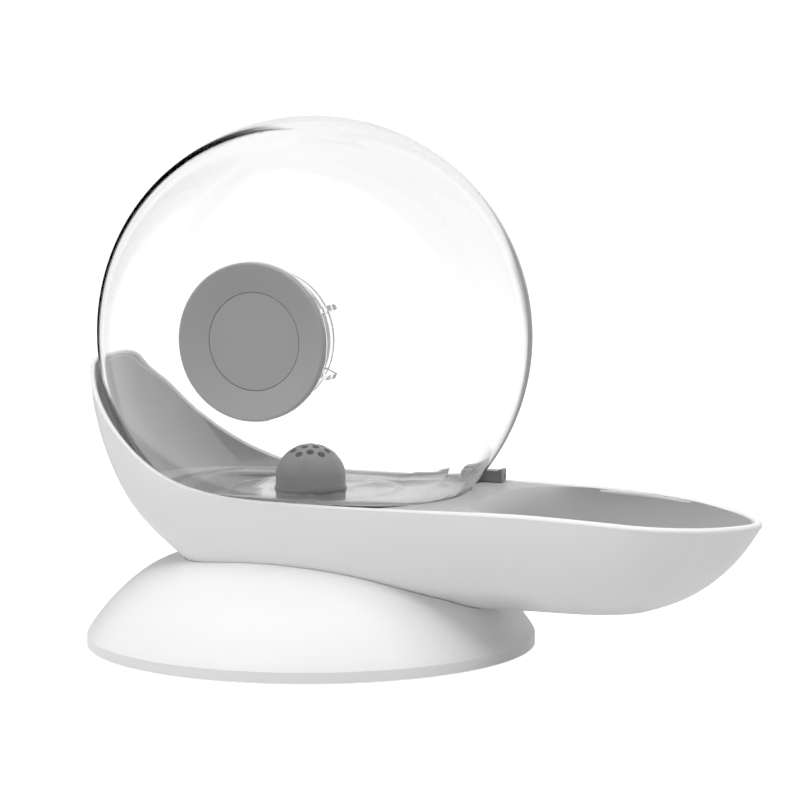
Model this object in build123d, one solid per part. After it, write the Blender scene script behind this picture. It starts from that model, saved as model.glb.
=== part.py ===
from build123d import *
import math
import os
from functools import lru_cache

os.makedirs("parts", exist_ok=True)

# ---------------------------------------------------------------- main sizes (mm)
STAND_R = 100.0           # round stand, radius at the foot
STAND_TOP = 44.5          # height of the stand's crown (hidden inside the body)
FOOT_LIFT = 0.6           # the band's lower edge above the table
WALL = 2.4                # body wall
SHELL_WALL = 2.6          # stand wall

TANK_X = 1.6              # tank centre
TANK_Z = 137.4
TANK_R = 97.0             # bubble radius
SIDE_R = 157.0            # radius of the two flatter side faces
SIDE_C = -92.6            # centre of that radius behind the opposite face
SIDE_BEND = 22.0          # blend between bubble and side face
TANK_WALL = 2.0
TANK_FLOOR = 67.6         # underside of the tank's flat floor
FLOOR_T = 2.2

CAP_X = 0.6               # filler axis
CAP_Z = 140.0
CAP_R = 34.0
CAP_DISC_R = 21.0
NECK_R = 27.4             # filler bore
NECK_WALL = 2.2

LIP_DROP = 1.0            # how far the body's edge stays under the rim line
DECK_Z = 69.6             # tray deck
SEAT_R = 70.5             # round recess the tank stands in
SEAT_Z = 66.8
SLAB_Z = 64.6             # underside of the deck
SUMP_R = 19.0
SUMP_Z = 46.0

OUTLET_BORE = 8.5         # inside of the outlet bushing
COLLAR_R = 10.8
STRAINER_R = 15.5
STRAINER_H = 19.4
STEM_R = 2.0
VALVE_TRAVEL = 3.0

# ---------------------------------------------------------------- fits
RUN_FIT = 0.05            # shaft in hole, radial
SEAL_FIT = 0.07           # O-ring in the filler bore, radial
BODY_GAP = 0.25           # tray inside the body
SADDLE_GAP = 0.3          # body in the stand
TANK_GAP = 0.8            # tank inside the body's tail
FREE_GAP = 0.4            # loose parts

# ---------------------------------------------------------------- sculpted body
# height, stern x, bow x, half width, and how far a unit of wall moves it sideways and up
BODY_LEVELS = [
    (22.4, -2.0, 142.0, 5.0, 0.0, 1.0),
    (22.7, -9.0, 149.0, 10.0, 0.1, 1.0),
    (24.0, -20.0, 157.0, 17.0, 0.3, 0.97),
    (28.6, -33.0, 170.0, 28.0, 0.5, 0.87),
    (35.0, -45.5, 182.0, 40.0, 0.75, 0.66),
    (44.0, -58.0, 193.0, 46.5, 0.9, 0.44),
    (56.0, -72.5, 203.0, 50.5, 0.95, 0.3),
    (70.0, -83.8, 210.5, 52.5, 0.99, 0.1),
    (85.0, -91.9, 214.0, 52.0, 1.0, 0.0),
    (100.0, -97.2, 215.0, 51.5, 1.0, 0.0),
    (115.0, -99.7, 215.0, 51.0, 1.0, 0.0),
    (134.0, -100.2, 215.0, 50.5, 1.0, 0.0),
]
# height, left x, right x, half width of the drinking bowl's hollow
BOWL_LEVELS = [
    (28.2, 113.0, 147.0, 8.0, 0.1, 1.0),
    (28.7, 109.5, 152.0, 13.0, 0.3, 0.95),
    (32.5, 105.0, 167.3, 24.0, 0.5, 0.87),
    (37.9, 102.0, 178.2, 34.0, 0.75, 0.66),
    (46.0, 98.5, 188.9, 40.2, 0.9, 0.44),
    (57.3, 94.0, 199.0, 44.1, 0.95, 0.3),
    (66.0, 89.0, 204.0, 45.8, 0.98, 0.2),
    (70.7, 76.0, 206.4, 46.3, 0.8, 0.6),
]
STERN = [(1.0, 0.0), (0.991, 0.3), (0.941, 0.55), (0.833, 0.75), (0.647, 0.9), (0.444, 0.97)]
MIDDLE = [(0.0, 1.0), (0.29, 1.03), (0.55, 1.02), (0.8, 0.975)]
BOW = [(0.0, 0.945), (0.2, 0.935), (0.35, 0.903), (0.515, 0.836), (0.7, 0.671),
       (0.82, 0.515), (0.912, 0.34), (0.97, 0.18), (1.0, 0.0)]
BOWL_BOW = [(0.0, 1.0), (0.2, 0.99), (0.35, 0.955), (0.515, 0.885), (0.7, 0.71),
            (0.82, 0.545), (0.912, 0.36), (0.97, 0.19), (1.0, 0.0)]
# body rim seen from the side: x, z
RIM_LINE = [(-101.5, 126.8), (-99.0, 126.0), (-96.8, 122.0), (-95.0, 118.0), (-90.0, 111.5),
            (-85.0, 105.4), (-80.0, 99.9), (-70.0, 91.1), (-60.0, 84.2), (-50.0, 79.0),
            (-40.0, 75.3), (-30.0, 72.8), (-20.0, 71.2), (-8.0, 70.3), (5.0, 70.0),
            (60.0, 70.0), (100.0, 69.95), (124.0, 69.6), (150.0, 68.4), (169.0, 66.9),
            (185.0, 65.7), (203.0, 64.95), (216.0, 64.8)]


def level_outline(z, x_left, x_right, half, x_a, x_b, middle, bow):
    """One closed horizontal section: rounded stern, long sides, leaf-shaped bow."""
    upper = []
    for u, v in STERN:
        upper.append((x_a - u * (x_a - x_left), v * half))
    for u, v in middle:
        upper.append((x_a + u * (x_b - x_a), v * half))
    for u, v in bow:
        upper.append((x_b + u * (x_right - x_b), v * half))
    lower = [(x, -y) for x, y in reversed(upper[1:-1])]
    points = [Vector(x, y, z) for x, y in upper + lower]
    return make_face(Spline(*points, periodic=True))


@lru_cache(maxsize=None)
def body_form(inset):
    """The sculpted body as one solid, shrunk (or grown) by a wall thickness."""
    faces = []
    for z, x_left, x_right, half, side, up in BODY_LEVELS:
        move = inset * side
        left = x_left + move
        right = x_right - move
        x_a = max(-15.0, left + 25.0)
        x_b = min(125.0, right - 35.0)
        faces.append(level_outline(z + inset * up, left, right, half - move, x_a, x_b, MIDDLE, BOW))
    return loft(faces)


@lru_cache(maxsize=None)
def bowl_form(grow):
    """The bowl's hollow, or its outside when grown by the wall."""
    faces = []
    for z, x_left, x_right, half, side, up in BOWL_LEVELS:
        move = grow * side
        left = x_left - move
        right = x_right + move
        x_b = min(125.0, right - 24.0)
        x_a = x_b - 3.0
        middle = [(0.0, 1.0)]
        top = z - grow * up if z < 60.0 else z
        faces.append(level_outline(top, left, right, half + move, x_a, x_b, middle, BOWL_BOW))
    return loft(faces)


@lru_cache(maxsize=None)
def above_rim(drop=0.0):
    """Everything above the body's rim line, lowered by drop."""
    points = [(x, z - drop) for x, z in RIM_LINE]
    with BuildPart() as cutter:
        with BuildSketch(Plane.XZ):
            with BuildLine():
                rim = Spline(*points)
                Line(rim @ 1, (240.0, points[-1][1]))
                Line((240.0, points[-1][1]), (240.0, 260.0))
                Line((240.0, 260.0), (-140.0, 260.0))
                Line((-140.0, 260.0), (-140.0, points[0][1]))
                Line((-140.0, points[0][1]), rim @ 0)
            make_face()
        extrude(amount=90.0, both=True)
    return cutter.part


def block(x0, x1, y0, y1, z0, z1):
    """A box between two corners."""
    middle = ((x0 + x1) / 2, (y0 + y1) / 2, (z0 + z1) / 2)
    return Pos(*middle) * Box(abs(x1 - x0), abs(y1 - y0), abs(z1 - z0))


def rod(x, y, z0, z1, radius):
    """A vertical cylinder between two heights."""
    return Pos(x, y, (z0 + z1) / 2) * Cylinder(radius, z1 - z0)


def cross_rod(x, z, y0, y1, radius):
    """A cylinder along Y."""
    return Pos(x, (y0 + y1) / 2, z) * Rot(90, 0, 0) * Cylinder(radius, y1 - y0)


# ---------------------------------------------------------------- stand
STAND_SKIN = [(1.0, 0.119), (0.974, 0.211), (0.907, 0.402), (0.821, 0.593), (0.736, 0.737),
              (0.636, 0.843), (0.5, 0.921), (0.3, 0.98), (0.0, 1.0)]


def stand_solid(inset, bottom):
    """Solid of revolution under the stand's skin, moved inwards by inset."""
    skin = [(u * (STAND_R - inset), v * (STAND_TOP - inset)) for u, v in STAND_SKIN]
    with BuildPart() as body:
        with BuildSketch(Plane.XZ):
            with BuildLine():
                Spline(*skin, tangents=[(-0.45, 0.9), (-1, 0)])
                Line((0.0, skin[-1][1]), (0.0, bottom))
                Line((0.0, bottom), (skin[0][0], bottom))
                Line((skin[0][0], bottom), skin[0])
            make_face()
        revolve(axis=Axis.Z)
    return body.part


PLATE_SCREWS = [(84.0 * math.cos(math.radians(a)), 84.0 * math.sin(math.radians(a)))
                for a in (45, 135, 225, 315)]
HULL_SCREWS = [(-4.0, -13.0), (-4.0, 13.0), (56.0, -13.0), (56.0, 13.0)]
TRAY_SCREWS = [(-42.0, 0.0), (42.0, -27.0), (42.0, 27.0)]
PAD_T = 1.6
PLATE_T = 2.6
SCREW_R = 1.45
HEAD_R = 3.4


def base_shell():
    outer = stand_solid(0.0, FOOT_LIFT)
    inner = stand_solid(SHELL_WALL, FOOT_LIFT - 1.0)
    shell = outer - inner
    for x, y in PLATE_SCREWS:
        post = rod(x, y, PAD_T + PLATE_T, 30.0, 4.2) & outer
        hole = rod(x, y, PAD_T + PLATE_T - 1.0, 15.0, SCREW_R + RUN_FIT)
        shell = shell + post - hole
    return shell - body_form(-SADDLE_GAP)


def base_plate():
    plate = rod(0, 0, PAD_T, PAD_T + PLATE_T, STAND_R - SHELL_WALL - 0.8)
    for x, y in PLATE_SCREWS + HULL_SCREWS:
        plate -= rod(x, y, 0, 10, SCREW_R + 0.25)
    return plate


def foot_pad():
    pad = rod(0, 0, 0, PAD_T, 92.0)
    for x, y in PLATE_SCREWS + HULL_SCREWS:
        pad -= rod(x, y, -1, 5, HEAD_R + 0.8)
    return pad


def screw(x, y, head_z, head_t, tip_z):
    """A pan-head screw pointing up, with a cross recess in its head."""
    body = rod(x, y, head_z, head_z + head_t, HEAD_R) + rod(x, y, head_z + head_t, tip_z, SCREW_R)
    slot = block(x - 1.7, x + 1.7, y - 0.35, y + 0.35, head_z - 1, head_z + 0.7)
    return body - slot - Pos(x, y, 0) * Rot(0, 0, 90) * Pos(-x, -y, 0) * slot


def screw_set(places, head_z, head_t, tip_z):
    return Compound(children=[screw(x, y, head_z, head_t, tip_z) for x, y in places])


# ---------------------------------------------------------------- tank
def bubble(inset):
    """Sphere flattened by two shallow side faces, turned about the filler direction."""
    ball = TANK_R - inset
    side = SIDE_R - inset
    bend = SIDE_BEND - inset
    c = SIDE_C
    # where the two arcs' offsets meet the blend circle
    reach_b = ball - bend
    reach_s = side - bend
    yc = (reach_b ** 2 - reach_s ** 2 + c * c) / (2 * c)
    rc = math.sqrt(reach_b ** 2 - yc ** 2)
    k1 = ball / reach_b
    on_ball = (rc * k1, yc * k1)
    k2 = side / reach_s
    on_side = (rc * k2, c + (yc - c) * k2)
    top = (0.0, c + side)
    mid_dir = ((on_ball[0] + on_side[0]) / 2 - rc, (on_ball[1] + on_side[1]) / 2 - yc)
    length = math.hypot(*mid_dir)
    mid_bend = (rc + mid_dir[0] * bend / length, yc + mid_dir[1] * bend / length)
    half = math.asin(on_side[0] / side) / 2
    mid_side = (side * math.sin(half), c + side * math.cos(half))
    with BuildPart() as body:
        with BuildSketch(Plane.XY):
            with BuildLine():
                ThreePointArc(top, mid_side, on_side)
                ThreePointArc(on_side, mid_bend, on_ball)
                ThreePointArc(on_ball, (ball, 0.0), (on_ball[0], -on_ball[1]))
                ThreePointArc((on_ball[0], -on_ball[1]), (mid_bend[0], -mid_bend[1]),
                              (on_side[0], -on_side[1]))
                ThreePointArc((on_side[0], -on_side[1]), (mid_side[0], -mid_side[1]), (0.0, -top[1]))
                Line((0.0, -top[1]), top)
            make_face()
        revolve(axis=Axis.Y)
    return Pos(TANK_X, 0, TANK_Z) * body.part


def above(solid, z):
    """The part of a solid above a height."""
    return solid - block(-200, 300, -150, 150, -50, z)


def soften(solid, z, radius):
    """Round the edge a flat cut left at one height."""
    ring = [e for e in solid.edges() if abs(e.center().Z - z) < 0.01 and e.bounding_box().size.Z < 0.01]
    return fillet(ring, radius)


NECK_END = -42.0
BOSS_Y = -60.4


def tank_shell():
    outer = soften(above(bubble(0.0), TANK_FLOOR), TANK_FLOOR, 6.0)
    inner = soften(above(bubble(TANK_WALL), TANK_FLOOR + FLOOR_T), TANK_FLOOR + FLOOR_T, 4.5)
    pad = cross_rod(CAP_X, CAP_Z, BOSS_Y, -55.0, CAP_R + 0.3)
    crown = cross_rod(CAP_X, CAP_Z, -80.0, BOSS_Y, CAP_R + 0.3)
    shell = outer + pad - crown - inner
    neck = cross_rod(CAP_X, CAP_Z, BOSS_Y, NECK_END, NECK_R + NECK_WALL)
    for a in (25, 155, 205, 335):
        lug = block(NECK_R + NECK_WALL - 0.4, 35.0, -55.0, -45.0, -1.2, 1.2)
        neck += Pos(CAP_X, 0, CAP_Z) * Rot(0, -a, 0) * lug
    shell = shell + neck - cross_rod(CAP_X, CAP_Z, -80.0, NECK_END + 5.0, NECK_R)
    return shell - rod(0, 0, 60, 80, COLLAR_R + 0.15)


# ---------------------------------------------------------------- body and tray
def post_hole(x, y):
    return rod(x, y, 10.0, 53.0, 3.7) + rod(x, y, 50.0, 60.0, SCREW_R + 0.25)


def outer_hull():
    outer = body_form(0.0) - above_rim(LIP_DROP)
    hollow = body_form(WALL)
    hull = outer - hollow
    hull -= block(-150, 250, -100, 100, 126.0, 200)
    for x, y in TRAY_SCREWS:
        hull += rod(x, y, 22.0, 56.0, 5.2) & (outer - block(-200, 250, -100, 100, 56.0, 200))
        hull -= post_hole(x, y)
    for x, y in HULL_SCREWS:
        hull += rod(x, y, PAD_T + PLATE_T, 27.5, 4.5)
        hull -= rod(x, y, 0, 20.0, SCREW_R + RUN_FIT)
    clear = bubble(-TANK_GAP)
    return hull - clear


def inner_tray():
    limit = body_form(WALL + BODY_GAP) - above_rim(0.3)
    limit -= block(-150, 250, -100, 100, DECK_Z, 200)
    slab = limit - block(-150, 250, -100, 100, 0, SLAB_Z)
    bowl = bowl_form(2.0) & limit
    sump = rod(0, 0, SUMP_Z - 2.0, DECK_Z - 1.0, SUMP_R + 2.0)
    tray = slab + bowl + sump
    for x, y in TRAY_SCREWS:
        tray += rod(x, y, 56.0, SLAB_Z + 1.0, 4.2)
        tray -= rod(x, y, 55.0, 63.0, SCREW_R + RUN_FIT)
    seat = rod(TANK_X, 0, SEAT_Z, 90.0, SEAT_R) & body_form(WALL + BODY_GAP + 1.8)
    tray = tray - bowl_form(0.0) - seat - rod(0, 0, SUMP_Z, 80.0, SUMP_R)
    tray -= above(bubble(-0.5), SEAT_Z)
    tray -= block(8.0, 104.0, -DUCT_Y - 0.2, DUCT_Y + 0.2, DUCT_Z0 - 0.2, DUCT_Z1 + 0.2)
    ear = block(CATCH_X + 5.5, CATCH_X + 10.0, CATCH_PY - 1.6, CATCH_PY + 1.6, DECK_Z - 1.0, CATCH_PZ)
    ear += Pos(CATCH_X + 7.75, CATCH_PY, CATCH_PZ) * Rot(0, 90, 0) * Cylinder(1.6, 4.5)
    tray += ear
    return tray - Pos(CATCH_X + 7.75, CATCH_PY, CATCH_PZ) * Rot(0, 90, 0) * Cylinder(PIN_R, 30.0)


def seat_ring():
    return rod(TANK_X, 0, SEAT_Z, TANK_FLOOR, 40.0) - rod(TANK_X, 0, 60, 70, 36.0)


DUCT_Y = 10.6
DUCT_Z0 = 46.4
DUCT_Z1 = 55.2
DUCT_WALL = 1.6


def water_duct():
    tube = block(12.0, 112.0, -DUCT_Y, DUCT_Y, DUCT_Z0, DUCT_Z1)
    tube -= block(0.0, 130.0, DUCT_WALL - DUCT_Y, DUCT_Y - DUCT_WALL, DUCT_Z0 + DUCT_WALL, DUCT_Z1 - DUCT_WALL)
    return tube - rod(0, 0, 30, 80, SUMP_R) - bowl_form(0.0)


def duct_seals():
    rings = []
    for x in (21.3, 90.0):
        ring = block(x, x + 2.0, -DUCT_Y - 2, DUCT_Y + 2, DUCT_Z0 - 2, DUCT_Z1 + 2)
        ring -= block(x - 1, x + 3, -DUCT_Y, DUCT_Y, DUCT_Z0, DUCT_Z1)
        rings.append(ring)
    return Compound(children=rings)


def lift_post():
    post = rod(0, 0, SUMP_Z, SUMP_Z + 1.6, 8.0) + rod(0, 0, SUMP_Z, STEM_Z0 - 0.1, 2.6)
    for a in (0, 60, 120):
        post += Rot(0, 0, a) * block(-5.5, 5.5, -0.6, 0.6, SUMP_Z, SUMP_Z + 6.0)
    return post


# ---------------------------------------------------------------- outlet and valve
LEDGE_Z = 57.0
LEDGE_T = 2.2
FLANGE_Z = TANK_FLOOR + FLOOR_T + 1.0
SPIDER_Z = 70.0
STEM_Z0 = 56.0
WASHER_Z = LEDGE_Z + LEDGE_T + 0.3 + VALVE_TRAVEL
WASHER_T = 1.6


def outlet_collar():
    collar = rod(0, 0, 53.0, FLANGE_Z + 1.8, COLLAR_R) + rod(0, 0, FLANGE_Z, FLANGE_Z + 1.8, 13.4)
    collar -= rod(0, 0, 50.0, LEDGE_Z, OUTLET_BORE)
    collar -= rod(0, 0, 50.0, 80.0, 5.5)
    collar -= rod(0, 0, LEDGE_Z + LEDGE_T, 80.0, OUTLET_BORE)
    for a in (0, 60, 120):
        collar += Rot(0, 0, a) * block(-OUTLET_BORE - 0.5, OUTLET_BORE + 0.5, -0.8, 0.8, SPIDER_Z, SPIDER_Z + 1.6)
    collar += rod(0, 0, SPIDER_Z, SPIDER_Z + 1.6, 4.0)
    return collar - rod(0, 0, 60.0, 80.0, STEM_R + RUN_FIT)


def outlet_seal():
    return rod(0, 0, TANK_FLOOR + FLOOR_T, FLANGE_Z, 13.2) - rod(0, 0, 60, 80, COLLAR_R + 0.05)


def outlet_nut():
    with BuildPart() as nut:
        with BuildSketch(Plane.XY.offset(TANK_FLOOR - 5.0)):
            RegularPolygon(15.6, 6)
        extrude(amount=5.0)
    return nut.part - rod(0, 0, 50, 80, COLLAR_R + 0.05)


def valve_stem():
    stem = rod(0, 0, STEM_Z0, 77.6, STEM_R) + rod(0, 0, WASHER_Z + WASHER_T, WASHER_Z + WASHER_T + 1.2, 5.5)
    return stem - (rod(0, 0, CLIP_Z, CLIP_Z + 0.8, 3.0) - rod(0, 0, CLIP_Z, CLIP_Z + 0.8, 1.5))


CLIP_Z = SPIDER_Z + 1.6 + VALVE_TRAVEL + 0.8


def valve_clip():
    clip = rod(0, 0, CLIP_Z, CLIP_Z + 0.8, 3.8) - rod(0, 0, CLIP_Z - 1, CLIP_Z + 2, 1.52)
    return clip - block(0, 5, -0.9, 0.9, CLIP_Z - 1, CLIP_Z + 2)


def valve_washer():
    return rod(0, 0, WASHER_Z, WASHER_Z + WASHER_T, 7.4) - rod(0, 0, 50, 80, STEM_R)


def valve_spring():
    low = WASHER_Z + WASHER_T + 1.2 + 0.45
    path = Helix(pitch=1.2, height=3.6, radius=4.3)
    with BuildPart() as coil:
        with BuildSketch(Plane(origin=path @ 0, z_dir=path % 0)):
            Circle(0.3)
        sweep(path=path)
    return Pos(0, 0, low) * coil.part


# ---------------------------------------------------------------- strainer
def dome_solid(radius, shoulder, straight, top):
    """Cylinder with a flattened dome on top: a round shoulder and a shallower crown."""
    z0 = TANK_FLOOR + FLOOR_T
    rise = top - straight
    flat = radius - shoulder
    crown = (flat ** 2 + rise ** 2 - shoulder ** 2) / (2 * (rise - shoulder))
    lean = math.atan2(flat, crown - rise)
    meet = (crown * math.sin(lean), top - crown + crown * math.cos(lean))
    mid_s = (flat + shoulder * math.sin((math.pi / 2 + lean) / 2),
             straight + shoulder * math.cos((math.pi / 2 + lean) / 2))
    mid_c = (crown * math.sin(lean / 2), top - crown + crown * math.cos(lean / 2))
    with BuildPart() as body:
        with BuildSketch(Plane.XZ):
            with BuildLine():
                Line((0, z0), (radius, z0))
                Line((radius, z0), (radius, straight))
                ThreePointArc((radius, straight), mid_s, meet)
                ThreePointArc(meet, mid_c, (0, top))
                Line((0, top), (0, z0))
            make_face()
        revolve(axis=Axis.Z)
    return body.part, top - crown


HOLE_R = 1.7
HOLE_STEP = 5.0
HOLE_TURN = 22.6          # the rows of holes run this way round
HOLE_GRID = [(HOLE_STEP * (q + r / 2), HOLE_STEP * r * math.sqrt(0.75))
             for q in range(-2, 3) for r in range(-2, 3) if abs(q + r) <= 2]


STRAINER_WALL = 1.6
STRAINER_SHOULDER = 11.0
PAD_LOW = 8.8              # filter pad above the tank floor
PAD_HIGH = 11.6


def dome_layer(inset):
    """The strainer's outer form, or the form that far inside it, and the height of its crown's centre."""
    z0 = TANK_FLOOR + FLOOR_T
    return dome_solid(STRAINER_R - inset, STRAINER_SHOULDER - inset, z0 + 5.5, z0 + STRAINER_H - inset)


def strainer_dome():
    z0 = TANK_FLOOR + FLOOR_T
    top = z0 + STRAINER_H
    dome, crown_z = dome_layer(0.0)
    dome -= dome_layer(STRAINER_WALL)[0]
    dome += rod(0, 0, z0, z0 + 0.8, STRAINER_R + 0.5) - rod(0, 0, z0 - 1, z0 + 2, STRAINER_R - 1.0)
    crown_r = top - crown_z
    for x, y in HOLE_GRID:
        ring = math.hypot(x, y)
        slope = math.degrees(math.asin(ring / crown_r))
        drill = Pos(0, 0, crown_z) * Rot(0, slope, 0) * Pos(0, 0, crown_r - 1.0) * Cylinder(HOLE_R, 6.0)
        dome -= Rot(0, 0, HOLE_TURN + math.degrees(math.atan2(y, x))) * drill
    return dome


def filter_pad():
    """Foam disc pressed into the dome, trimmed to the dome's inside curve."""
    z0 = TANK_FLOOR + FLOOR_T
    disc = rod(0, 0, z0 + PAD_LOW, z0 + PAD_HIGH, STRAINER_R - 3.5)
    return disc & dome_layer(STRAINER_WALL)[0]


# ---------------------------------------------------------------- filler cap
CAP_RIM_Y = -64.2
CAP_BACK_Y = -60.7


def turned_cap_part(points):
    """Revolve a (radius, y) outline about the filler axis."""
    with BuildPart() as body:
        with BuildSketch(Plane.XY):
            with BuildLine():
                Polyline(*points, close=True)
            make_face()
        revolve(axis=Axis.Y)
    return Pos(CAP_X, 0, CAP_Z) * body.part


def cap_shell():
    face = CAP_RIM_Y + 3.7
    pocket = face + 1.6
    skirt = NECK_R - FREE_GAP
    cap = turned_cap_part([
        (0, pocket), (CAP_DISC_R + 0.2, pocket), (CAP_DISC_R + 0.2, face),
        (CAP_R - 0.9, CAP_RIM_Y), (CAP_R - 0.3, CAP_RIM_Y + 0.1), (CAP_R, CAP_RIM_Y + 0.5),
        (CAP_R, CAP_BACK_Y), (skirt, CAP_BACK_Y), (skirt, -44.0), (skirt - 2.0, -44.0),
        (skirt - 2.0, pocket + 1.8), (0, pocket + 1.8)])
    groove = turned_cap_part([(skirt - 1.0, -52.0), (40.0, -52.0), (40.0, -49.8), (skirt - 1.0, -49.8)])
    return cap - groove


def cap_disc():
    face = CAP_RIM_Y + 3.7
    return turned_cap_part([(0, face), (CAP_DISC_R - 0.15, face), (CAP_DISC_R, face + 0.15),
                            (CAP_DISC_R, face + 1.6), (0, face + 1.6)])


def cap_seal():
    inner = NECK_R - FREE_GAP - 1.0
    outer = NECK_R - SEAL_FIT
    return turned_cap_part([(inner, -52.0), (outer - 0.5, -52.0), (outer, -51.4), (outer, -50.4),
                            (outer - 0.5, -49.8), (inner, -49.8)])


# ---------------------------------------------------------------- tank catch
CATCH_X = 57.5
CATCH_L = 16.6
CATCH_PY = 47.6
CATCH_PZ = 72.0
PIN_R = 0.8


def tank_catch():
    x0 = CATCH_X
    x1 = CATCH_X + CATCH_L
    body = block(x0, x1, 43.8, CATCH_PY, DECK_Z + 0.4, 75.0)
    body += block(x0, x1, CATCH_PY - 1, CATCH_PY + 2.0, CATCH_PZ, 75.0)
    body += Pos((x0 + x1) / 2, CATCH_PY, CATCH_PZ) * Rot(0, 90, 0) * Cylinder(2.0, CATCH_L)
    body += block(x0, x0 + 6.5, 39.0, 45.0, DECK_Z + 0.9, 74.2)
    body += block(x1 - 1.6, x1, 43.8, CATCH_PY + 2.0, 74.0, 75.7)
    body -= block(x0 + 5.1, x0 + 10.4, CATCH_PY - 2.1, CATCH_PY + 3.0, 60.0, CATCH_PZ + 2.1)
    body -= Pos((x0 + x1) / 2, CATCH_PY, CATCH_PZ) * Rot(0, 90, 0) * Cylinder(PIN_R + RUN_FIT, 40.0)
    for swing in (0, 8, 16, 24, 31):
        back = Pos(0, CATCH_PY, CATCH_PZ) * Rot(swing, 0, 0) * Pos(0, -CATCH_PY, -CATCH_PZ)
        body -= back * bubble(-0.6)
    return body


def catch_pin():
    return Pos(CATCH_X + CATCH_L / 2, CATCH_PY, CATCH_PZ) * Rot(0, 90, 0) * Cylinder(PIN_R, CATCH_L - 0.6)


PARTS = {
    "base_shell": base_shell,
    "base_plate": base_plate,
    "foot_pad": foot_pad,
    "plate_screws": lambda: screw_set(PLATE_SCREWS, 0.35, 1.25, 13.0),
    "hull_screws": lambda: screw_set(HULL_SCREWS, 0.35, 1.25, 18.0),
    "tray_screws": lambda: screw_set(TRAY_SCREWS, 51.3, 1.7, 62.0),
    "outer_hull": outer_hull,
    "inner_tray": inner_tray,
    "seat_ring": seat_ring,
    "water_duct": water_duct,
    "duct_seals": duct_seals,
    "lift_post": lift_post,
    "tank_shell": tank_shell,
    "outlet_collar": outlet_collar,
    "outlet_seal": outlet_seal,
    "outlet_nut": outlet_nut,
    "valve_stem": valve_stem,
    "valve_clip": valve_clip,
    "valve_washer": valve_washer,
    "valve_spring": valve_spring,
    "strainer_dome": strainer_dome,
    "filter_pad": filter_pad,
    "cap_shell": cap_shell,
    "cap_disc": cap_disc,
    "cap_seal": cap_seal,
    "tank_catch": tank_catch,
    "catch_pin": catch_pin,
}

for name, make in PARTS.items():
    shape = make()
    export_step(shape, f"parts/{name}.step")
    box = shape.bounding_box()
    print(f"{name:14s} {shape.volume:10.1f} {len(shape.solids())} "
          f"{box.min.X:7.1f} {box.max.X:7.1f} {box.min.Y:7.1f} {box.max.Y:7.1f} {box.min.Z:7.1f} {box.max.Z:7.1f}")
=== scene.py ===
import math

import bmesh
import bpy
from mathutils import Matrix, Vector


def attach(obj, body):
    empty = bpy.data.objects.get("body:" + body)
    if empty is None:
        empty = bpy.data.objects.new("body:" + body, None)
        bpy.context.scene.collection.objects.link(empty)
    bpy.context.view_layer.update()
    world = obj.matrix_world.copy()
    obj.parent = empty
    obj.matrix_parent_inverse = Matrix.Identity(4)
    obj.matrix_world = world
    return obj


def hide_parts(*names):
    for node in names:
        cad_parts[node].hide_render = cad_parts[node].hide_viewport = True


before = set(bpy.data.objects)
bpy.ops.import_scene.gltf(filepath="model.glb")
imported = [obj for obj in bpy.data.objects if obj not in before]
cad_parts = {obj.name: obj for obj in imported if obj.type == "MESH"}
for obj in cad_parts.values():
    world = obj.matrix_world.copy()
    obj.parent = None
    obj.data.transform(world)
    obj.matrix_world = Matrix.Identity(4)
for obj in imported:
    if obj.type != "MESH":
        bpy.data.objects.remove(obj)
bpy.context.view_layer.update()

MM = 0.001


# ---------------------------------------------------------------- shared helpers
def linear(colour):
    """sRGB hex to the linear colour a shader socket takes."""
    parts = [int(colour[i:i + 2], 16) / 255.0 for i in (1, 3, 5)]
    straight = [p / 12.92 if p <= 0.04045 else ((p + 0.055) / 1.055) ** 2.4 for p in parts]
    return (*straight, 1.0)


def add_node(tree, kind, sockets=None, **settings):
    """Add a shader node, set its settings, then fill or link its inputs by name or number."""
    made = tree.nodes.new(kind)
    for key, value in settings.items():
        setattr(made, key, value)
    for key, value in (sockets or {}).items():
        socket = made.inputs[key]
        if isinstance(value, bpy.types.NodeSocket):
            tree.links.new(value, socket)
        else:
            socket.default_value = value
    return made


def new_material(name):
    """An empty node material and its tree."""
    material = bpy.data.materials.new(name)
    material.use_nodes = True
    material.node_tree.nodes.clear()
    return material, material.node_tree


def put_on(node_names, material):
    """Give CAD nodes a material on the slots they already have."""
    for name in node_names:
        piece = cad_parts[name]
        if not piece.data.materials:
            piece.data.materials.append(material)
        for slot in piece.material_slots:
            slot.material = material


def deselect():
    if bpy.context.mode != "OBJECT":
        bpy.ops.object.mode_set(mode="OBJECT")
    bpy.ops.object.select_all(action="DESELECT")


# ---------------------------------------------------------------- camera
TURN = math.radians(22.603)
TILT = math.radians(6.54)
camera_data = bpy.data.cameras.new("studio_camera")
camera_data.sensor_width = 36.0
camera_data.lens = 150.37
camera_data.clip_start = 0.05
camera_data.clip_end = 40.0
camera = bpy.data.objects.new("studio_camera", camera_data)
camera.location = (0.60282, -1.34484, 0.27744)
camera.rotation_euler = (math.pi / 2 - TILT, 0.0, TURN)
bpy.context.scene.collection.objects.link(camera)
bpy.context.scene.camera = camera
bpy.context.scene.view_settings.view_transform = "Standard"


# ---------------------------------------------------------------- materials
MELT_FLOW = 70 * MM         # how far apart the melt's drifts of colour are
GLOSS_DRIFT = 12 * MM       # and those of its gloss
TURNED_LINES = 0.4 * MM     # spacing of the lines that drawing leaves on steel
FOAM_CELL = 1.2 * MM
BLOWN_WAVE = 35 * MM        # length of the slow waves in a blown wall
BLOWN_WAVE_DEPTH = 0.02 * MM


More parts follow.
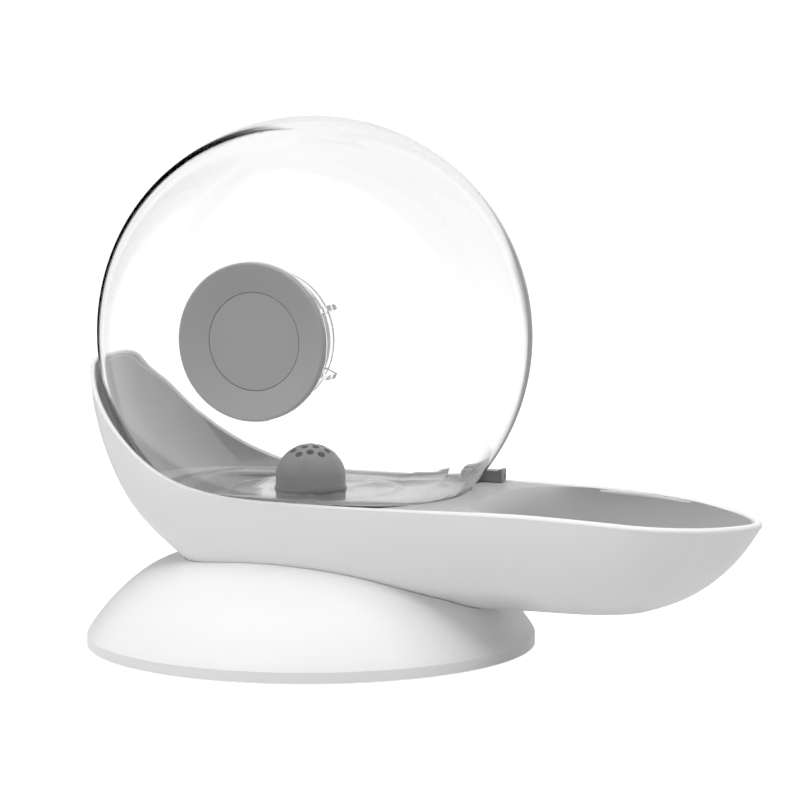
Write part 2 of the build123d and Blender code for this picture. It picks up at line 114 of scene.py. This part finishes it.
def moulded_plastic(name, colour, shade, roughness, ior, grain, depth):
    """Injection-moulded plastic: a spark-eroded mould leaves a fine even grain that blurs the gloss.

    Colour drifts very slightly over some 70 mm where the melt flowed, roughness over some 12 mm.
    grain and depth are the mould texture's spacing and height in mm.
    """
    material, tree = new_material(name)
    place = add_node(tree, "ShaderNodeTexCoord").outputs["Object"]
    flow = add_node(tree, "ShaderNodeTexNoise",
                    {"Vector": place, "Scale": 1.0 / MELT_FLOW, "Detail": 2.0})
    tone = add_node(tree, "ShaderNodeMix",
                    {0: flow.outputs["Fac"], 6: linear(colour), 7: linear(shade)}, data_type="RGBA")
    wipe = add_node(tree, "ShaderNodeTexNoise",
                    {"Vector": place, "Scale": 1.0 / GLOSS_DRIFT, "Detail": 3.0})
    rough = add_node(tree, "ShaderNodeMapRange",
                     {"Value": wipe.outputs["Fac"], "From Min": 0.3, "From Max": 0.7,
                      "To Min": roughness - 0.03, "To Max": roughness + 0.03})
    erosion = add_node(tree, "ShaderNodeTexNoise",
                       {"Vector": place, "Scale": 1.0 / (grain * MM), "Detail": 2.0})
    bump = add_node(tree, "ShaderNodeBump",
                    {"Height": erosion.outputs["Fac"], "Distance": depth * MM, "Strength": 1.0})
    shader = add_node(tree, "ShaderNodeBsdfPrincipled",
                      {"Base Color": tone.outputs[2], "Roughness": rough.outputs["Result"],
                       "IOR": ior, "Normal": bump.outputs["Normal"]})
    add_node(tree, "ShaderNodeOutputMaterial", {"Surface": shader.outputs["BSDF"]})
    return material


WHITE = "#efefef"
WHITE_SHADE = "#ececec"
white_pp = moulded_plastic("satin_polypropylene", WHITE, WHITE_SHADE, 0.40, 1.49, 0.7, 0.006)
grey_pp = moulded_plastic("satin_light_grey_polypropylene", "#b4b4b4", "#b0b0b0",
                          0.42, 1.49, 0.7, 0.006)
white_plate_pp = moulded_plastic("matt_polypropylene", "#e2e2e2", "#dcdcdc", 0.55, 1.49, 0.8, 0.012)
grey_abs = moulded_plastic("satin_grey_abs", "#9b9b9b", "#979797", 0.36, 1.54, 0.6, 0.006)
slate_abs = moulded_plastic("satin_slate_grey_abs", "#7d7d7d", "#787878", 0.38, 1.54, 0.6, 0.006)
pad_rubber = moulded_plastic("matt_foot_rubber", "#3c3c3e", "#38383a", 0.75, 1.52, 1.2, 0.05)
silicone = moulded_plastic("milky_silicone", "#c9c9c9", "#c2c2c2", 0.5, 1.41, 1.0, 0.01)


def two_tone(material, centre, half_length, inside_colour, inside_shade):
    """Second colour on the faces that look into the body, a grey skin moulded inside a white one.

    A face looks inwards when it points to the body's spine, a line along X through centre.
    """
    tree = material.node_tree
    where = add_node(tree, "ShaderNodeTexCoord")
    apart = add_node(tree, "ShaderNodeSeparateXYZ", {"Vector": where.outputs["Object"]})
    near_x = add_node(tree, "ShaderNodeClamp",
                      {"Value": apart.outputs["X"], "Min": centre[0] - half_length,
                       "Max": centre[0] + half_length})
    spine = add_node(tree, "ShaderNodeCombineXYZ",
                     {"X": near_x.outputs[0], "Y": centre[1], "Z": centre[2]})
    out = add_node(tree, "ShaderNodeVectorMath", {0: where.outputs["Object"], 1: spine.outputs[0]},
                   operation="SUBTRACT")
    facing = add_node(tree, "ShaderNodeVectorMath", {0: out.outputs["Vector"], 1: where.outputs["Normal"]},
                      operation="DOT_PRODUCT")
    inward = add_node(tree, "ShaderNodeMath", {0: facing.outputs["Value"], 1: 0.0},
                      operation="LESS_THAN")
    shader = [n for n in tree.nodes if n.type == "BSDF_PRINCIPLED"][0]
    outside = shader.inputs["Base Color"].links[0].from_socket
    flow = [n for n in tree.nodes if n.type == "TEX_NOISE"][0]
    inside = add_node(tree, "ShaderNodeMix",
                      {0: flow.outputs["Fac"], 6: linear(inside_colour), 7: linear(inside_shade)},
                      data_type="RGBA")
    both = add_node(tree, "ShaderNodeMix", {0: inward.outputs[0], 6: outside, 7: inside.outputs[2]},
                    data_type="RGBA")
    tree.links.new(both.outputs[2], shader.inputs["Base Color"])
    return material


def drawn_steel(name, colour, roughness):
    """Stainless steel, turned or drawn: fine lines along the work stretch the gloss."""
    material, tree = new_material(name)
    place = add_node(tree, "ShaderNodeTexCoord").outputs["Object"]
    squeeze = add_node(tree, "ShaderNodeMapping", {"Vector": place, "Scale": (1.0, 1.0, 0.05)})
    lines = add_node(tree, "ShaderNodeTexNoise",
                     {"Vector": squeeze.outputs["Vector"], "Scale": 1.0 / TURNED_LINES})
    rough = add_node(tree, "ShaderNodeMapRange",
                     {"Value": lines.outputs["Fac"], "From Min": 0.3, "From Max": 0.7,
                      "To Min": roughness - 0.06, "To Max": roughness + 0.06})
    bump = add_node(tree, "ShaderNodeBump",
                    {"Height": lines.outputs["Fac"], "Distance": 0.01 * MM, "Strength": 1.0})
    shader = add_node(tree, "ShaderNodeBsdfPrincipled",
                      {"Base Color": linear(colour), "Metallic": 1.0,
                       "Roughness": rough.outputs["Result"], "Normal": bump.outputs["Normal"]})
    add_node(tree, "ShaderNodeOutputMaterial", {"Surface": shader.outputs["BSDF"]})
    return material


steel = drawn_steel("stainless_steel", "#c8c8ca", 0.3)


def sponge_foam():
    """Open-cell filter foam, burnt clean of its skins: dark grey strands round open cells, with painted
    shade making the cells darker than the strands.
    """
    material, tree = new_material("open_cell_foam")
    place = add_node(tree, "ShaderNodeTexCoord").outputs["Object"]
    cells = add_node(tree, "ShaderNodeTexVoronoi", {"Vector": place, "Scale": 1.0 / FOAM_CELL},
                     feature="DISTANCE_TO_EDGE")
    web_and_pit_shade = add_node(tree, "ShaderNodeMapRange",
                   {"Value": cells.outputs["Distance"], "From Min": 0.02, "From Max": 0.25,
                    "To Min": 1.0, "To Max": 0.0})
    # painted shade: the pits between the strands take the darker grey, the strands the lighter one
    tone = add_node(tree, "ShaderNodeMix",
                    {0: web_and_pit_shade.outputs["Result"], 6: linear("#2c2c30"), 7: linear("#66666c")},
                    data_type="RGBA")
    bump = add_node(tree, "ShaderNodeBump", {"Height": web_and_pit_shade.outputs["Result"], "Distance": 0.4 * MM})
    shader = add_node(tree, "ShaderNodeBsdfPrincipled",
                      {"Base Color": tone.outputs[2], "Roughness": 0.9,
                       "Normal": bump.outputs["Normal"]})
    add_node(tree, "ShaderNodeOutputMaterial", {"Surface": shader.outputs["BSDF"]})
    return material


foam = sponge_foam()


def clear_copolyester():
    """Blow-moulded clear copolyester: glossy, and slowly wavy where the blown wall stretched.

    Lamps and bounced light pass straight through, so that the tray inside is lit.
    """
    material, tree = new_material("clear_copolyester")
    place = add_node(tree, "ShaderNodeTexCoord").outputs["Object"]
    wave = add_node(tree, "ShaderNodeTexNoise",
                    {"Vector": place, "Scale": 1.0 / BLOWN_WAVE, "Detail": 1.0})
    bump = add_node(tree, "ShaderNodeBump",
                    {"Height": wave.outputs["Fac"], "Distance": BLOWN_WAVE_DEPTH, "Strength": 1.0})
    shader = add_node(tree, "ShaderNodeBsdfPrincipled",
                      {"Base Color": linear("#fefefe"), "Roughness": 0.0, "IOR": 1.57,
                       "Transmission Weight": 1.0, "Normal": bump.outputs["Normal"]})
    clear = add_node(tree, "ShaderNodeBsdfTransparent", {"Color": (0.92, 0.92, 0.92, 1.0)})
    path = add_node(tree, "ShaderNodeLightPath")
    soft_ray = add_node(tree, "ShaderNodeMath",
                        {0: path.outputs["Is Shadow Ray"], 1: path.outputs["Is Diffuse Ray"]},
                        operation="MAXIMUM")
    mixed = add_node(tree, "ShaderNodeMixShader",
                     {0: soft_ray.outputs[0], 1: shader.outputs["BSDF"], 2: clear.outputs["BSDF"]})
    depth = add_node(tree, "ShaderNodeVolumeAbsorption",
                     {"Color": (0.5, 0.5, 0.5, 1.0), "Density": 10.0})
    add_node(tree, "ShaderNodeOutputMaterial",
             {"Surface": mixed.outputs["Shader"], "Volume": depth.outputs["Volume"]})
    return material


tank_clear = clear_copolyester()

SPINE_CENTRE = (50 * MM, 0.0, 95 * MM)
SPINE_HALF = 55 * MM
hull_pp = two_tone(
    moulded_plastic("two_colour_polypropylene", WHITE, WHITE_SHADE, 0.40, 1.49, 0.7, 0.006),
    SPINE_CENTRE, SPINE_HALF, "#a0a0a0", "#9b9b9b")
put_on(["base_shell"], white_pp)
put_on(["outer_hull"], hull_pp)
put_on(["inner_tray", "water_duct", "lift_post"], grey_pp)
put_on(["base_plate"], white_plate_pp)
put_on(["foot_pad"], pad_rubber)
put_on(["plate_screws", "hull_screws", "tray_screws", "catch_pin", "valve_spring", "valve_clip"],
       steel)
put_on(["seat_ring", "duct_seals", "outlet_seal", "valve_washer", "cap_seal"], silicone)
put_on(["cap_shell", "cap_disc"], grey_abs)
put_on(["outlet_collar", "outlet_nut", "valve_stem", "strainer_dome", "tank_catch"], slate_abs)
put_on(["filter_pad"], foam)

# ---------------------------------------------------------------- tank
JOIN_WITHIN = 0.002 * MM
KEEP_SHARP_OVER = math.radians(30.0)


def seamless_tank():
    """The clear tank with its patches joined, so that light bends evenly where they meet."""
    tank = bpy.data.objects.new("clear_tank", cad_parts["tank_shell"].data.copy())
    bpy.context.scene.collection.objects.link(tank)
    deselect()
    tank.select_set(True)
    bpy.context.view_layer.objects.active = tank
    bpy.ops.object.mode_set(mode="EDIT")
    bpy.ops.mesh.select_all(action="SELECT")
    bpy.ops.mesh.remove_doubles(threshold=JOIN_WITHIN)
    bpy.ops.object.mode_set(mode="OBJECT")
    if tank.data.has_custom_normals:
        bpy.ops.mesh.customdata_custom_splitnormals_clear()
    bpy.ops.object.shade_smooth_by_angle(angle=KEEP_SHARP_OVER)
    tank.data.materials.clear()
    tank.data.materials.append(tank_clear)
    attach(tank, "tank")
    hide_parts("tank_shell")


seamless_tank()


# ---------------------------------------------------------------- body's rolled edge
LIP_R = 1.2 * MM            # beside the tank
BOWL_LIP_R = 1.9 * MM       # round the drinking bowl
BOWL_LIP_SINK = 0.3 * MM
RING_CENTRE = 50 * MM       # the body's middle, along its length
INSIDE_BY = 0.6 * MM
PEER_WITHIN = 12 * MM
THIN_TO = 70 * MM           # along the body, where the edge starts to thicken
FULL_FROM = 110 * MM
WALL_TOP_FROM = 60 * MM     # nothing lower is the wall's top
SPINE_END = 150 * MM
KNOT_STEP = 0.8 * MM


def rolled_edge():
    """The body's white edge: a full round 2.4 mm across beside the tank, thicker round the bowl."""
    body = bmesh.new()
    body.from_mesh(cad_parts["outer_hull"].data)
    bmesh.ops.remove_doubles(body, verts=body.verts, dist=0.001 * MM)
    body.normal_update()

    def is_top(face):
        level = abs(face.normal.y) < 0.02 and face.normal.z > 0.3
        return level and face.calc_center_median().z > WALL_TOP_FROM

    def looks_out(face):
        middle = face.calc_center_median()
        spine = min(max(middle.x, 0.0), SPINE_END)
        return face.normal.x * (middle.x - spine) + face.normal.y * middle.y > 0.0

    inward = {}
    for edge in body.edges:
        tops = [f for f in edge.link_faces if is_top(f)]
        walls = [f for f in edge.link_faces if not is_top(f) and looks_out(f)]
        if len(tops) == 1 and len(walls) == 1:
            side = walls[0].normal - walls[0].normal.dot(tops[0].normal) * tops[0].normal
            for corner in edge.verts:
                inward.setdefault(corner, []).append(side.normalized())
    def on_inner_edge(corner):
        peers = [v.co.x - corner.co.x for v in inward
                 if v.co.y * corner.co.y > 0.0 and abs(v.co.x - corner.co.x) < PEER_WITHIN
                 and abs(v.co.y) > abs(corner.co.y) + INSIDE_BY]
        return bool(peers) and min(peers) < 0.0 < max(peers)

    ring = sorted((v for v in inward if not on_inner_edge(v)),
                  key=lambda corner: math.atan2(corner.co.y, corner.co.x - RING_CENTRE))
    points = []
    for corner in ring:
        share = min(max((corner.co.x - THIN_TO) / (FULL_FROM - THIN_TO), 0.0), 1.0)
        radius = LIP_R + share * (BOWL_LIP_R - LIP_R)
        middle = corner.co - sum(inward[corner], Vector()).normalized() * radius
        middle.z -= share * BOWL_LIP_SINK
        if not points or (middle - points[-1][0]).length > KNOT_STEP:
            points.append((middle, radius / LIP_R))
    body.free()
    curve = bpy.data.curves.new("rolled_edge_line", "CURVE")
    curve.dimensions = "3D"
    curve.bevel_depth = LIP_R
    curve.bevel_resolution = 4
    run = curve.splines.new("POLY")
    run.points.add(len(points) - 1)
    for knot, (middle, size) in zip(run.points, points):
        knot.co = (*middle, 1.0)
        knot.radius = size
    run.use_cyclic_u = True
    lip = bpy.data.objects.new("rolled_edge", curve)
    bpy.context.scene.collection.objects.link(lip)
    deselect()
    lip.select_set(True)
    bpy.context.view_layer.objects.active = lip
    bpy.ops.object.convert(target="MESH")
    lip = bpy.context.object
    lip.data.materials.clear()
    lip.data.materials.append(white_pp)
    bpy.ops.object.shade_smooth()
    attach(lip, "stand")


rolled_edge()

# ---------------------------------------------------------------- studio
WHITE_LIGHT = (1.0, 1.0, 1.0, 1.0)
AMBIENT = 0.32              # soft light from all round
BACKDROP = 1.06             # what the eye sees behind the object
# bearing, half width and soft edge in degrees, sine of the top's height, brightness
CURTAINS = [
    (136.0, 15.0, 2.0, 0.6, 0.0),
    (90.0, 10.0, 5.0, 0.05, 0.35),
]


def curtain(tree, where):
    """Darker on the cloths behind the object that only mirrored light meets, and 1 elsewhere."""
    split = add_node(tree, "ShaderNodeSeparateXYZ", {"Vector": where})
    bearing = add_node(tree, "ShaderNodeMath", {0: split.outputs["Y"], 1: split.outputs["X"]},
                       operation="ARCTAN2")
    light = 1.0
    for middle, half_width, soft, top, brightness in CURTAINS:
        off = add_node(tree, "ShaderNodeMath", {0: bearing.outputs[0], 1: math.radians(middle)},
                       operation="SUBTRACT")
        away = add_node(tree, "ShaderNodeMath", {0: off.outputs[0]}, operation="ABSOLUTE")
        sideways = add_node(tree, "ShaderNodeMapRange",
                            {"Value": away.outputs[0], "From Min": math.radians(half_width - soft),
                             "From Max": math.radians(half_width + soft), "To Min": brightness},
                            interpolation_type="SMOOTHSTEP")
        upright = add_node(tree, "ShaderNodeMapRange",
                           {"Value": split.outputs["Z"], "From Min": top, "From Max": top + 0.1,
                            "To Min": brightness}, interpolation_type="SMOOTHSTEP")
        cloth = add_node(tree, "ShaderNodeMath", {0: sideways.outputs[0], 1: upright.outputs[0]},
                         operation="MAXIMUM")
        light = add_node(tree, "ShaderNodeMath", {0: cloth.outputs[0], 1: light},
                         operation="MULTIPLY").outputs[0]
    return light


def mirrored_ray(tree, path):
    """1 for light that has been mirrored at least once on its way to the eye."""
    return add_node(tree, "ShaderNodeMath", {0: path.outputs["Glossy Depth"], 1: 0.5},
                    operation="GREATER_THAN").outputs[0]


def studio_floor():
    """A plain white table, bright enough to bounce light under the body."""
    deselect()
    bpy.ops.mesh.primitive_plane_add(size=12.0, location=(0.0, 0.0, 0.0))
    floor = bpy.context.object
    floor.name = "studio_floor"
    bpy.ops.object.transform_apply(location=True)
    material, tree = new_material("white_table")
    path = add_node(tree, "ShaderNodeLightPath")
    where = add_node(tree, "ShaderNodeTexCoord").outputs["Object"]
    board = add_node(tree, "ShaderNodeBsdfDiffuse", {"Color": (0.62, 0.62, 0.62, 1.0)})
    glow = add_node(tree, "ShaderNodeEmission", {"Color": WHITE_LIGHT, "Strength": 0.85})
    lit = add_node(tree, "ShaderNodeAddShader", {0: board.outputs[0], 1: glow.outputs[0]})
    shaded = add_node(tree, "ShaderNodeEmission",
                      {"Color": WHITE_LIGHT, "Strength": curtain(tree, where)})
    seen = add_node(tree, "ShaderNodeMixShader",
                    {0: mirrored_ray(tree, path), 1: lit.outputs[0], 2: shaded.outputs[0]})
    shown = add_node(tree, "ShaderNodeMixShader",
                     {0: path.outputs["Is Diffuse Ray"], 1: seen.outputs[0], 2: board.outputs[0]})
    add_node(tree, "ShaderNodeOutputMaterial", {"Surface": shown.outputs[0]})
    floor.data.materials.append(material)


def studio_world():
    """White surroundings; soft light from them is weaker than what the eye and the gloss see."""
    world = bpy.data.worlds.new("studio_world")
    bpy.context.scene.world = world
    world.use_nodes = True
    tree = world.node_tree
    tree.nodes.clear()
    path = add_node(tree, "ShaderNodeLightPath")
    where = add_node(tree, "ShaderNodeTexCoord").outputs["Generated"]
    seen = add_node(tree, "ShaderNodeBackground", {"Color": WHITE_LIGHT, "Strength": BACKDROP})
    soft = add_node(tree, "ShaderNodeBackground", {"Color": WHITE_LIGHT, "Strength": AMBIENT})
    gloss = add_node(tree, "ShaderNodeBackground",
                     {"Color": WHITE_LIGHT, "Strength": curtain(tree, where)})
    first = add_node(tree, "ShaderNodeMixShader",
                     {0: mirrored_ray(tree, path), 1: seen.outputs[0], 2: gloss.outputs[0]})
    last = add_node(tree, "ShaderNodeMixShader",
                    {0: path.outputs["Is Diffuse Ray"], 1: first.outputs[0], 2: soft.outputs[0]})
    add_node(tree, "ShaderNodeOutputWorld", {"Surface": last.outputs[0]})


def softbox(name, at, aim, width, height, power):
    """A rectangular soft lamp aimed at a point."""
    lamp_data = bpy.data.lights.new(name, "AREA")
    lamp_data.shape = "RECTANGLE"
    lamp_data.size = width
    lamp_data.size_y = height
    lamp_data.energy = power
    lamp = bpy.data.objects.new(name, lamp_data)
    lamp.location = at
    lamp.rotation_euler = (Vector(aim) - Vector(at)).to_track_quat("-Z", "Y").to_euler()
    lamp.visible_glossy = False
    lamp.visible_transmission = False
    bpy.context.scene.collection.objects.link(lamp)
    return lamp


studio_floor()
studio_world()
softbox("top_softbox", (0.10, -0.30, 1.6), (0.05, 0.0, 0.05), 2.0, 1.4, 27.0)
softbox("left_fill", (-1.3, -1.7, 0.7), (0.0, 0.0, 0.05), 1.6, 1.2, 7.0)
